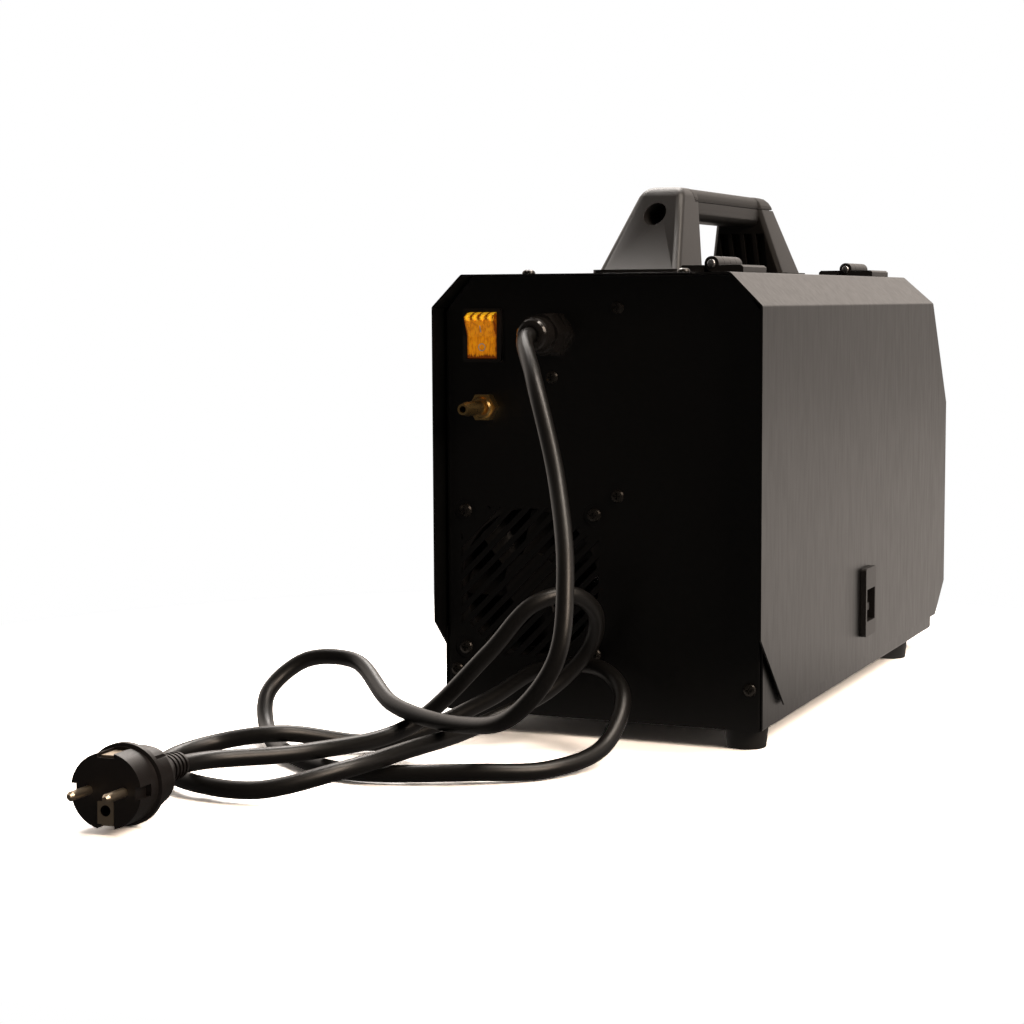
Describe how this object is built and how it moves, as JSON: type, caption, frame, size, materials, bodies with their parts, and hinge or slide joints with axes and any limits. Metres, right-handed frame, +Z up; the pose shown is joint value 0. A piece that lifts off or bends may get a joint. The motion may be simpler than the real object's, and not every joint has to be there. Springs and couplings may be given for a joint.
{
  "type": "mig welding machine",
  "caption": "Compact MIG welding machine: bent-steel case with a top-hinged wire door, carry handle, wire feeder, fan-cooled inverter, torch and lead sockets, gas inlet and mains lead.",
  "frame": {"origin": "on the floor under the middle of the machine without its mains lead", "axes": "+Z up; the front panel faces -Y and the rear panel +Y; the hinged wire door is on the -X side"},
  "size_m": [0.2992, 0.7835, 0.327],
  "materials": {
    "case_black": "satin powder coat",
    "screw_black": "blackened steel",
    "screw_zinc": "zinc plated",
    "moulded_black": "fine-grained moulding",
    "grip_soft": "soft-touch moulding",
    "gland_nylon": "glossy nylon",
    "rocker_amber": "glossy moulding",
    "brass": "turned",
    "rubber_black": "matt",
    "cord_black": "semi-gloss sheath",
    "plug_black": "semi-matt moulding",
    "aluminium": "machined",
    "steel": "bright steel",
    "board_green": "solder mask",
    "capacitor_sleeve": "shrunk sleeve",
    "winding_copper": "enamelled copper",
    "window_dark": "dark tinted",
    "pin_nickel": "nickel plated"
  },
  "bodies": {
    "case": {"base_tray": "case_black", "rubber_feet": "rubber_black", "foot_screws": "screw_zinc", "rear_panel": "case_black", "rear_panel_screws": "screw_black", "front_panel": "case_black", "front_panel_screws": "screw_black", "centre_wall": "case_black", "fixed_cover": "case_black", "cover_screws": "screw_black", "handle_body": "moulded_black", "grip_cover": "grip_soft", "handle_screws": "screw_zinc", "hinge_cover_leaves": "moulded_black", "hinge_pins": "screw_zinc", "hinge_screws": "screw_black", "switch_bezel": "moulded_black", "gland_body": "gland_nylon", "gland_nut": "gland_nylon", "gland_locknut": "gland_nylon", "gas_inlet": "brass", "gas_locknut": "brass", "gas_hose": "rubber_black", "gas_valve": "steel", "fan_frame": "moulded_black", "fan_screws": "screw_black", "torch_socket": "brass", "lead_sockets": "moulded_black", "display_window": "window_dark", "feeder_plate": "aluminium", "feed_motor": "steel", "wire_guides": "brass", "spool_axle": "steel", "hub_nut": "moulded_black", "control_board": "board_green", "power_board": "board_green", "heat_sinks": "aluminium", "capacitors": "capacitor_sleeve", "transformer": "winding_copper", "output_choke": "winding_copper", "power_cord": "cord_black", "plug_body": "plug_black", "plug_pins": "pin_nickel"},
    "door": {"side_door": "case_black", "hinge_door_leaves": "moulded_black", "latch_body": "moulded_black"},
    "latch": {"latch_slider": "moulded_black"},
    "rocker": {"switch_rocker": "rocker_amber"},
    "fan": {"fan_rotor": "moulded_black"},
    "voltage": {"voltage_knob": "moulded_black"},
    "wire_speed": {"wire_speed_knob": "moulded_black"},
    "trigger_button": {"trigger_mode_button": "moulded_black"},
    "gas_button": {"gas_test_button": "moulded_black"},
    "driven_roll": {"drive_roll": "steel"},
    "arm": {"pressure_arm": "moulded_black"},
    "top_roll": {"pressure_roll": "steel"},
    "lever": {"tension_lever": "steel", "tension_spring": "steel"},
    "tension": {"tension_knob": "moulded_black"},
    "hub": {"spool_hub": "moulded_black"}
  },
  "joints": [
    {"name": "door_hinge", "type": "hinge", "parent": "case", "child": "door", "pos_m": [-0.0604, 0, 0.2782], "axis": [0, 1, 0], "range_deg": [0, 165]},
    {"name": "latch_slide", "type": "slide", "parent": "door", "child": "latch", "axis": [0, 0, 1], "range_m": [0, 0.009], "stiffness_N_per_m": 120, "springref_m": -0.004},
    {"name": "power_rocker", "type": "hinge", "parent": "case", "child": "rocker", "pos_m": [0.0749, 0.211, 0.2373], "axis": [1, 0, 0], "range_deg": [0, 24]},
    {"name": "fan_spin", "type": "hinge", "parent": "case", "child": "fan", "pos_m": [0.0462, 0.2104, 0.0917], "axis": [0, 1, 0], "continuous": true},
    {"name": "voltage_turn", "type": "hinge", "parent": "case", "child": "voltage", "pos_m": [-0.0544, -0.19764, 0.21648], "axis": [0, -0.8321, 0.5547], "range_deg": [-140, 140]},
    {"name": "wire_speed_turn", "type": "hinge", "parent": "case", "child": "wire_speed", "pos_m": [0.0556, -0.19764, 0.21648], "axis": [0, -0.8321, 0.5547], "range_deg": [-140, 140]},
    {"name": "trigger_mode_press", "type": "slide", "parent": "case", "child": "trigger_button", "axis": [0, 0.8321, -0.5547], "range_m": [0, 0.0015], "stiffness_N_per_m": 400, "springref_m": -0.0005},
    {"name": "gas_test_press", "type": "slide", "parent": "case", "child": "gas_button", "axis": [0, 0.8321, -0.5547], "range_m": [0, 0.0015], "stiffness_N_per_m": 400, "springref_m": -0.0005},
    {"name": "drive_roll_spin", "type": "hinge", "parent": "case", "child": "driven_roll", "pos_m": [-0.0464, -0.143, 0.1185], "axis": [1, 0, 0], "continuous": true},
    {"name": "pressure_arm_lift", "type": "hinge", "parent": "case", "child": "arm", "pos_m": [-0.0464, -0.177, 0.148], "axis": [1, 0, 0], "range_deg": [0, 45]},
    {"name": "pressure_roll_spin", "type": "hinge", "parent": "arm", "child": "top_roll", "pos_m": [-0.0464, -0.143, 0.1455], "axis": [1, 0, 0], "continuous": true},
    {"name": "tension_lever_swing", "type": "hinge", "parent": "case", "child": "lever", "pos_m": [-0.0464, -0.113, 0.1435], "axis": [1, 0, 0], "range_deg": [0, 75]},
    {"name": "tension_knob_turn", "type": "hinge", "parent": "lever", "child": "tension", "pos_m": [-0.0464, -0.113, 0.1435], "axis": [0, 0.9659, 0.2588], "continuous": true},
    {"name": "spool_hub_spin", "type": "hinge", "parent": "case", "child": "hub", "pos_m": [-0.0494, 0.09, 0.154], "axis": [1, 0, 0], "continuous": true}
  ]
}
